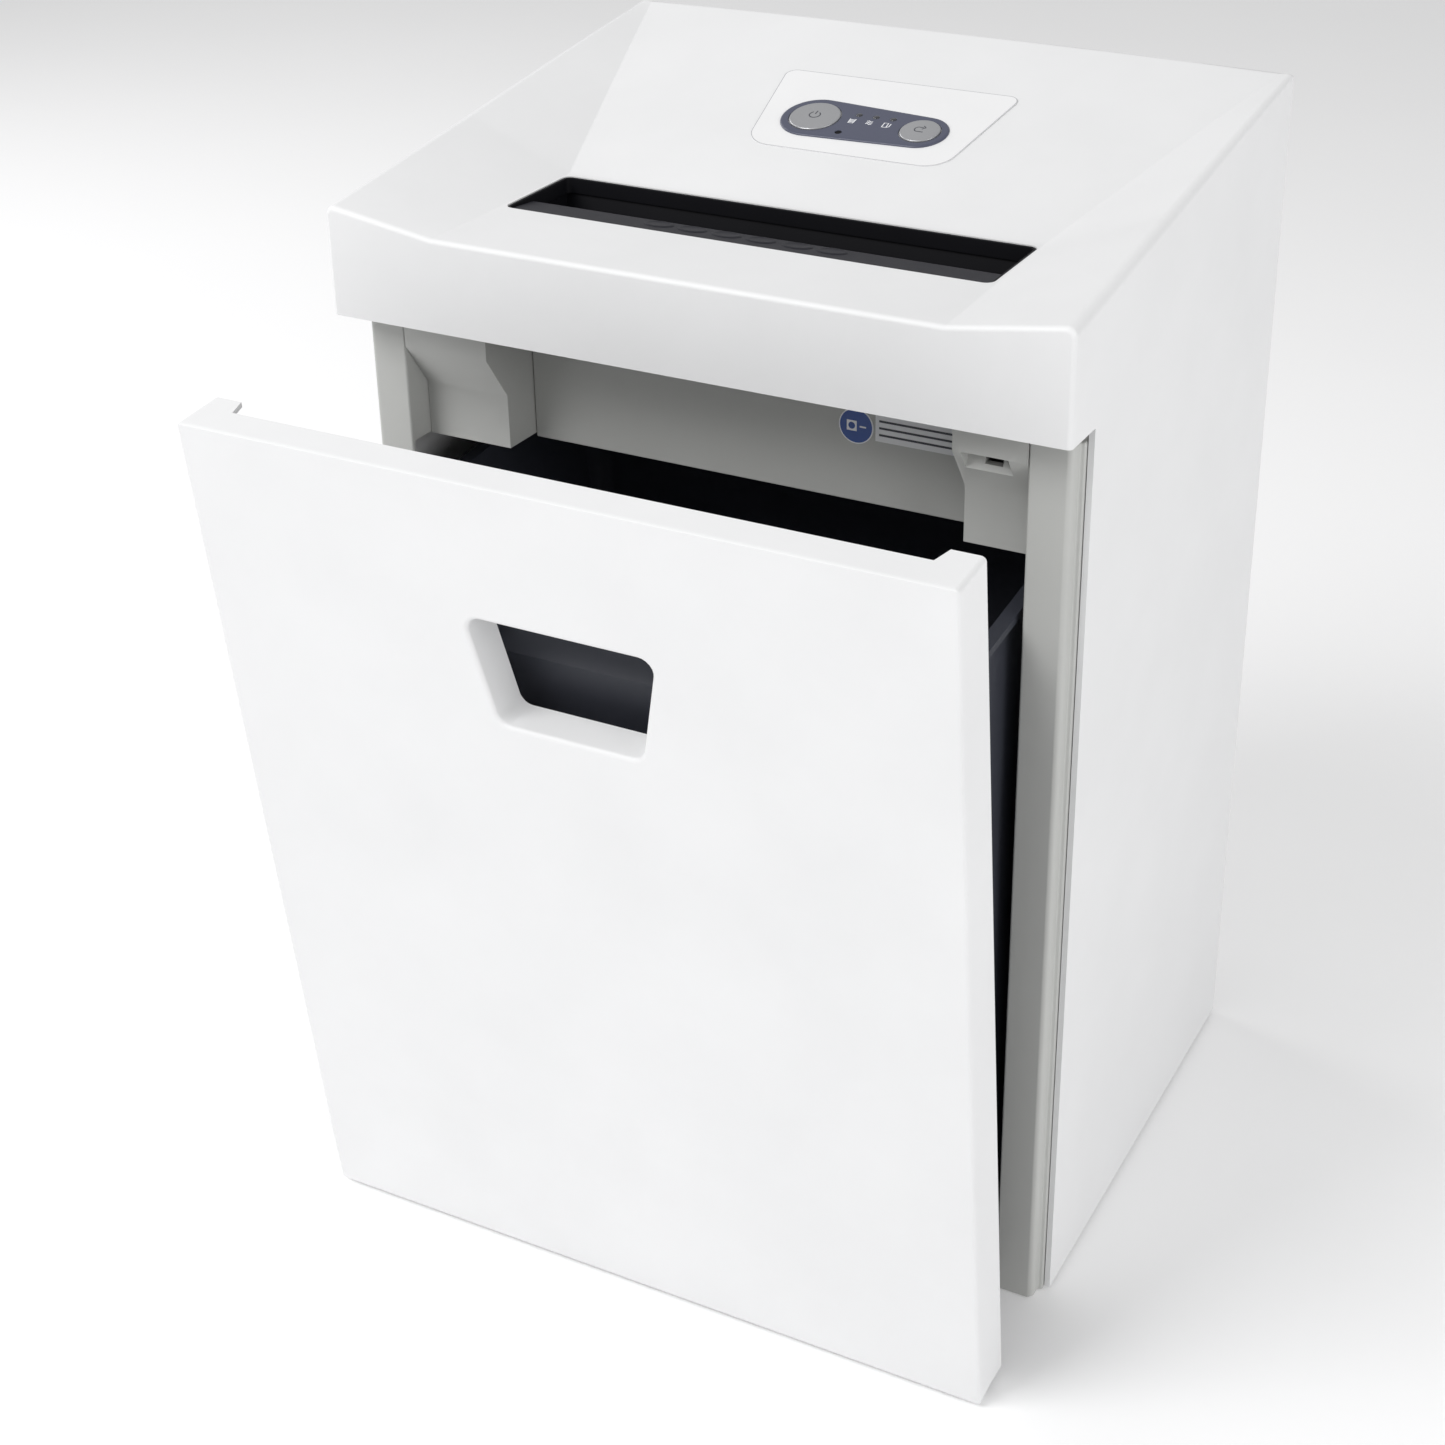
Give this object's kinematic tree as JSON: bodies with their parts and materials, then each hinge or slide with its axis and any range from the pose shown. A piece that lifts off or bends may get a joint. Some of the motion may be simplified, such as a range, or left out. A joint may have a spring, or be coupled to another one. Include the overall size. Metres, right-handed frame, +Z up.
{
  "type": "paper shredder",
  "caption": "Deskside paper shredder: white wedge-topped cabinet with a top paper slot and key panel, and a pull-out bin unit whose full-height door tips forward.",
  "frame": {"origin": "centre of the casing footprint, on the floor", "axes": "+Z up, front of the machine towards -Y, +X to the viewer's right"},
  "size_m": [0.398, 0.4355, 0.605],
  "materials": {
    "casing_white": "fine moulded grain",
    "frame_grey": "satin moulded",
    "pad_rubber": "matt",
    "sticker_blue": "printed film",
    "throat_dark": "satin moulded",
    "label_foil": "satin film",
    "bezel_slate": "satin",
    "button_silver": "silver lacquer",
    "lens_clear": "clear",
    "part_black": "moulded",
    "board_green": "solder mask",
    "plate_steel": "zinc plated",
    "comb_alloy": "cast",
    "bush_brass": "sintered",
    "cutter_steel": "ground and oiled",
    "gear_steel": "machined",
    "gear_nylon": "moulded nylon",
    "motor_paint": "satin",
    "can_pale": "moulded",
    "screw_zinc": "zinc plated",
    "bin_dark": "moulded",
    "glide_nylon": "moulded nylon"
  },
  "bodies": {
    "cabinet": {"casing_shell": "casing_white", "rear_cover": "casing_white", "base_tray": "frame_grey", "front_frame": "frame_grey", "left_hanger": "frame_grey", "right_hanger": "frame_grey", "chip_guard": "frame_grey", "floor_pads": "pad_rubber", "guard_sticker": "sticker_blue", "throat_guide": "throat_dark", "control_label": "label_foil", "control_bezel": "bezel_slate", "led_lenses": "lens_clear", "light_sensor": "part_black", "button_switches": "part_black", "power_inlet": "part_black", "door_switch": "part_black", "paper_sensor": "part_black", "control_board": "board_green", "drive_board": "board_green", "left_plate": "plate_steel", "right_plate": "plate_steel", "tie_rods": "plate_steel", "head_crossbar": "plate_steel", "cluster_stud": "plate_steel", "front_comb": "comb_alloy", "rear_comb": "comb_alloy", "motor_end_caps": "comb_alloy", "shaft_bushes": "bush_brass", "motor_body": "motor_paint", "motor_capacitor": "can_pale", "rear_screws": "screw_zinc", "hanger_screws": "screw_zinc", "plate_screws": "screw_zinc", "motor_screws": "screw_zinc"},
    "bin_unit": {"door_panel": "casing_white", "waste_bin": "bin_dark", "door_screws": "screw_zinc", "switch_tab": "frame_grey", "glide_pins": "plate_steel"},
    "glides": {"bin_glides": "glide_nylon"},
    "front_roller": {"front_cutter": "cutter_steel", "front_timing_gear": "gear_steel", "front_clip": "plate_steel"},
    "rear_roller": {"rear_cutter": "cutter_steel", "rear_timing_gear": "gear_steel", "drive_gear": "gear_nylon", "rear_clip": "plate_steel"},
    "reduction": {"cluster_gear": "gear_nylon"},
    "rotor": {"motor_rotor": "gear_steel", "motor_shaft": "plate_steel", "motor_pinion": "gear_steel"},
    "power_key": {"power_button": "button_silver"},
    "reverse_key": {"reverse_button": "button_silver"}
  },
  "joints": [
    {"name": "bin_pull", "type": "slide", "parent": "cabinet", "child": "glides", "axis": [0, -1, 0], "range_m": [-0.066, 0.2]},
    {"name": "bin_tip", "type": "hinge", "parent": "glides", "child": "bin_unit", "pos_m": [0, -0.128, 0.009], "axis": [1, 0, 0], "range_deg": [-6.6, 0]},
    {"name": "motor_spin", "type": "hinge", "parent": "cabinet", "child": "rotor", "pos_m": [0, 0.05559, 0.48587], "axis": [1, 0, 0], "continuous": true},
    {"name": "reduction_spin", "type": "hinge", "parent": "cabinet", "child": "reduction", "pos_m": [0, 0.01809, 0.48587], "axis": [1, 0, 0], "continuous": true},
    {"name": "rear_cutter_spin", "type": "hinge", "parent": "cabinet", "child": "rear_roller", "pos_m": [0, -0.028, 0.47], "axis": [1, 0, 0], "continuous": true},
    {"name": "front_cutter_spin", "type": "hinge", "parent": "cabinet", "child": "front_roller", "pos_m": [0, -0.068, 0.47], "axis": [1, 0, 0], "continuous": true},
    {"name": "power_press", "type": "slide", "parent": "cabinet", "child": "power_key", "axis": [0, 0.2685, -0.9633], "range_m": [0, 0.0012], "stiffness_N_per_m": 400},
    {"name": "reverse_press", "type": "slide", "parent": "cabinet", "child": "reverse_key", "axis": [0, 0.2685, -0.9633], "range_m": [0, 0.0012], "stiffness_N_per_m": 400}
  ],
  "couplings": [
    {"joint": "reduction_spin", "follows": "motor_spin", "ratio": -0.25},
    {"joint": "rear_cutter_spin", "follows": "motor_spin", "ratio": 0.075},
    {"joint": "front_cutter_spin", "follows": "motor_spin", "ratio": -0.075}
  ]
}
